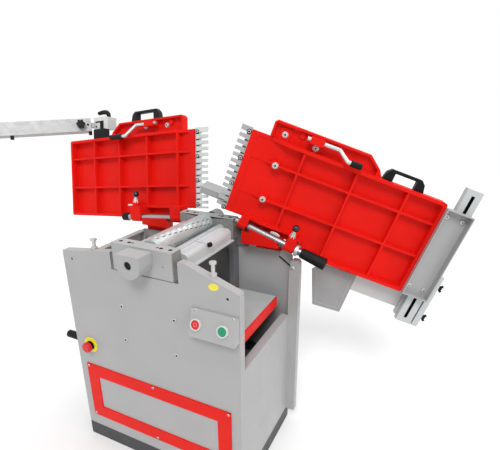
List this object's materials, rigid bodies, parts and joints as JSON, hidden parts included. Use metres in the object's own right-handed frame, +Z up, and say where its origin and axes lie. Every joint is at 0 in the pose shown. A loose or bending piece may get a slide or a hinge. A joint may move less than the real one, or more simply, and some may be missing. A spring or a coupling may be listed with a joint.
{
  "type": "planer thicknesser",
  "caption": "Combined planer thicknesser with both ribbed planing tables hinged up, fence, bridge guard and rising thicknessing table in a sheet-metal stand.",
  "frame": {"origin": "on the floor under the cutterblock axis, at the middle of the planing width", "axes": "+X along the tables towards the infeed table, -Y towards the operator, +Z up"},
  "size_m": [2.3805, 0.7926, 1.2396],
  "materials": {
    "red_paint": "bright red gloss paint",
    "grey_paint": "light grey powder coat",
    "steel": "bright zinc or ground steel",
    "cast_grey": "grey cast iron",
    "machined_iron": "planed cast iron",
    "motor_paint": "dark grey paint",
    "aluminium": "anodised aluminium",
    "carbide": "ground carbide",
    "black_plastic": "matt black plastic",
    "belt_rubber": "black rubber",
    "yellow_plastic": "yellow plastic",
    "red_plastic": "red plastic",
    "green_plastic": "green plastic"
  },
  "bodies": {
    "base": {"base_tray": "grey_paint", "front_panel": "grey_paint", "rear_and_side_panels": "grey_paint", "door_frame": "red_paint", "control_box": "grey_paint", "estop_base": "yellow_plastic", "front_screws": "steel", "cable_gland": "black_plastic", "stop_pins": "steel", "inner_frame": "cast_grey", "end_blocks": "machined_iron", "bearing_cover": "grey_paint", "cutter_bearings": "steel", "bed_rails": "aluminium", "motor": "motor_paint", "drive_belt": "belt_rubber", "belt_guard": "grey_paint", "hinge_rods": "steel", "hinge_brackets": "red_paint"},
    "cutter": {"cutterblock": "steel", "cutter_inserts": "carbide", "cutter_pulley": "cast_grey"},
    "motor_drive": {"motor_pulley": "cast_grey"},
    "infeed_roller": {"infeed_roller": "steel"},
    "outfeed_roller": {"outfeed_roller": "steel"},
    "rule_stop": {"rule_slider": "aluminium"},
    "rule_knob": {"slider_knob": "black_plastic"},
    "crank": {"crank": "steel"},
    "crank_grip": {"crank_grip": "black_plastic"},
    "nut_gear": {"nut_gear": "cast_grey"},
    "thickness_bed": {"thickness_table": "machined_iron"},
    "left_table": {"left_table": "red_paint", "left_lip": "steel", "left_table_screws": "steel", "left_handle": "black_plastic", "guard_post": "black_plastic"},
    "left_clamp": {"left_clamp_lever": "steel"},
    "left_plunger": {"left_plunger": "black_plastic"},
    "guard_holder": {"guard_holder": "cast_grey"},
    "guard_arm": {"guard_arm": "aluminium"},
    "guard_knob": {"guard_knob": "black_plastic"},
    "guard_lever": {"guard_lever": "black_plastic"},
    "depth_carrier": {"depth_collar": "steel"},
    "depth_grip": {"depth_grip": "black_plastic"},
    "right_table": {"right_table": "red_paint", "right_lip": "steel", "right_table_screws": "steel", "right_handle": "black_plastic", "end_channel": "grey_paint", "guide_bar": "aluminium"},
    "right_clamp": {"right_clamp_lever": "steel"},
    "right_plunger": {"right_plunger": "black_plastic"},
    "fence_carriage": {"fence_carriage": "aluminium", "fence_base": "grey_paint"},
    "fence": {"fence": "aluminium"},
    "front_clamp_knob": {"front_clamp_knob": "black_plastic"},
    "rear_clamp_knob": {"rear_clamp_knob": "black_plastic"},
    "stop_button": {"stop_button": "red_plastic"},
    "start_button": {"start_button": "green_plastic"},
    "estop_cap": {"estop_cap": "red_plastic"}
  },
  "joints": [
    {"name": "cutter_spin", "type": "hinge", "parent": "base", "child": "cutter", "pos_m": [0, 0, 0.835], "axis": [0, 1, 0], "continuous": true},
    {"name": "motor_spin", "type": "hinge", "parent": "base", "child": "motor_drive", "pos_m": [0.15, 0, 0.24], "axis": [0, 1, 0], "continuous": true},
    {"name": "infeed_spin", "type": "hinge", "parent": "base", "child": "infeed_roller", "pos_m": [0.066, 0, 0.818], "axis": [0, 1, 0], "continuous": true},
    {"name": "outfeed_spin", "type": "hinge", "parent": "base", "child": "outfeed_roller", "pos_m": [-0.066, 0, 0.818], "axis": [0, 1, 0], "continuous": true},
    {"name": "rule_stop_slide", "type": "slide", "parent": "base", "child": "rule_stop", "axis": [0, 1, 0], "range_m": [-0.09, 0.03]},
    {"name": "rule_knob_turn", "type": "hinge", "parent": "rule_stop", "child": "rule_knob", "pos_m": [0.14177, -0.048, 0.83482], "axis": [0.9063, 0, 0.4226], "range_deg": [-180, 180]},
    {"name": "crank_turn", "type": "hinge", "parent": "base", "child": "crank", "pos_m": [-0.366, 0, 0.4506], "axis": [1, 0, 0], "range_deg": [-410, 6500]},
    {"name": "nut_turn", "type": "hinge", "parent": "base", "child": "nut_gear", "pos_m": [0, 0, 0.4], "axis": [0, 0, 1], "range_deg": [-178.67, 2817.67]},
    {"name": "thickness_height", "type": "slide", "parent": "base", "child": "thickness_bed", "axis": [0, 0, 1], "range_m": [-0.01194, 0.18788]},
    {"name": "crank_grip_spin", "type": "hinge", "parent": "crank", "child": "crank_grip", "pos_m": [-0.4, -0.13, 0.3756], "axis": [1, 0, 0], "continuous": true},
    {"name": "left_table_swing", "type": "hinge", "parent": "base", "child": "left_table", "pos_m": [0, 0.1997, 0.8381], "axis": [-0.9945, 0, -0.1045], "range_deg": [-103.3, 0]},
    {"name": "left_clamp_turn", "type": "hinge", "parent": "left_table", "child": "left_clamp", "pos_m": [-0.3368, 0.31488, 1.1821], "axis": [0.9866, -0.1017, 0.1279], "range_deg": [-90, 0]},
    {"name": "left_plunger_pull", "type": "slide", "parent": "left_table", "child": "left_plunger", "axis": [-0.1017, 0.23, 0.9678], "range_m": [0, 0.01], "stiffness_N_per_m": 1500},
    {"name": "guard_swing", "type": "hinge", "parent": "left_table", "child": "guard_holder", "pos_m": [-0.68941, 0.42695, 1.16077], "axis": [0.1279, 0.9678, -0.2166], "range_deg": [0, 95]},
    {"name": "guard_fold", "type": "hinge", "parent": "guard_holder", "child": "guard_arm", "pos_m": [-0.77889, 0.4485, 1.14882], "axis": [-0.2798, 0.2447, 0.9283], "range_deg": [-50.3, 12]},
    {"name": "guard_knob_turn", "type": "hinge", "parent": "guard_arm", "child": "guard_knob", "pos_m": [-0.81852, 0.38185, 1.15445], "axis": [0.6504, -0.6629, 0.3708], "range_deg": [-180, 180]},
    {"name": "guard_lever_turn", "type": "hinge", "parent": "guard_holder", "child": "guard_lever", "pos_m": [-0.68306, 0.42634, 1.18948], "axis": [0.1017, -0.23, -0.9678], "range_deg": [-60, 60]},
    {"name": "depth_slide", "type": "slide", "parent": "base", "child": "depth_carrier", "axis": [0.9483, 0, -0.3173], "range_m": [0, 0.0095]},
    {"name": "depth_grip_turn", "type": "hinge", "parent": "base", "child": "depth_grip", "pos_m": [0, 0.1759, 0.8984], "axis": [-0.9483, 0, 0.3173], "range_deg": [-1, 121]},
    {"name": "right_table_swing", "type": "hinge", "parent": "depth_carrier", "child": "right_table", "pos_m": [0, 0.1759, 0.8984], "axis": [-0.9483, 0, 0.3173], "range_deg": [-96.8, 0]},
    {"name": "right_clamp_turn", "type": "hinge", "parent": "right_table", "child": "right_clamp", "pos_m": [0.42286, 0.25799, 1.13941], "axis": [0.8874, 0.3151, -0.3365], "range_deg": [-90, 0]},
    {"name": "right_plunger_pull", "type": "slide", "parent": "right_table", "child": "right_plunger", "axis": [0.3151, 0.1184, 0.9417], "range_m": [0, 0.01], "stiffness_N_per_m": 1500},
    {"name": "fence_slide", "type": "slide", "parent": "right_table", "child": "fence_carriage", "axis": [-0.3151, -0.1184, -0.9417], "range_m": [-0.24, 0.02]},
    {"name": "fence_tilt", "type": "hinge", "parent": "fence_carriage", "child": "fence", "pos_m": [0.60192, 0.37831, 0.71392], "axis": [0.8874, 0.3151, -0.3365], "range_deg": [-45, 0]},
    {"name": "front_clamp_knob_turn", "type": "hinge", "parent": "fence_carriage", "child": "front_clamp_knob", "pos_m": [0.83619, 0.4345, 0.61466], "axis": [0.8874, 0.3151, -0.3365], "range_deg": [-180, 180]},
    {"name": "rear_clamp_knob_turn", "type": "hinge", "parent": "fence_carriage", "child": "rear_clamp_knob", "pos_m": [0.79429, 0.41875, 0.48942], "axis": [0.8874, 0.3151, -0.3365], "range_deg": [-180, 180]},
    {"name": "stop_button_press", "type": "slide", "parent": "base", "child": "stop_button", "axis": [0, 0.9543, -0.2989], "range_m": [0, 0.004], "stiffness_N_per_m": 500},
    {"name": "start_button_press", "type": "slide", "parent": "base", "child": "start_button", "axis": [0, 0.9543, -0.2989], "range_m": [0, 0.004], "stiffness_N_per_m": 500},
    {"name": "estop_press", "type": "slide", "parent": "base", "child": "estop_cap", "axis": [0, 1, 0], "range_m": [0, 0.005], "stiffness_N_per_m": 700}
  ],
  "couplings": [
    {"joint": "motor_spin", "follows": "cutter_spin", "ratio": 0.36},
    {"joint": "outfeed_spin", "follows": "infeed_spin", "ratio": 1},
    {"joint": "nut_turn", "follows": "crank_turn", "ratio": 0.43333},
    {"joint": "thickness_height", "follows": "crank_turn", "m_per_rad": 0.0016552},
    {"joint": "depth_grip_turn", "follows": "depth_slide", "rad_per_m": 220.46}
  ]
}
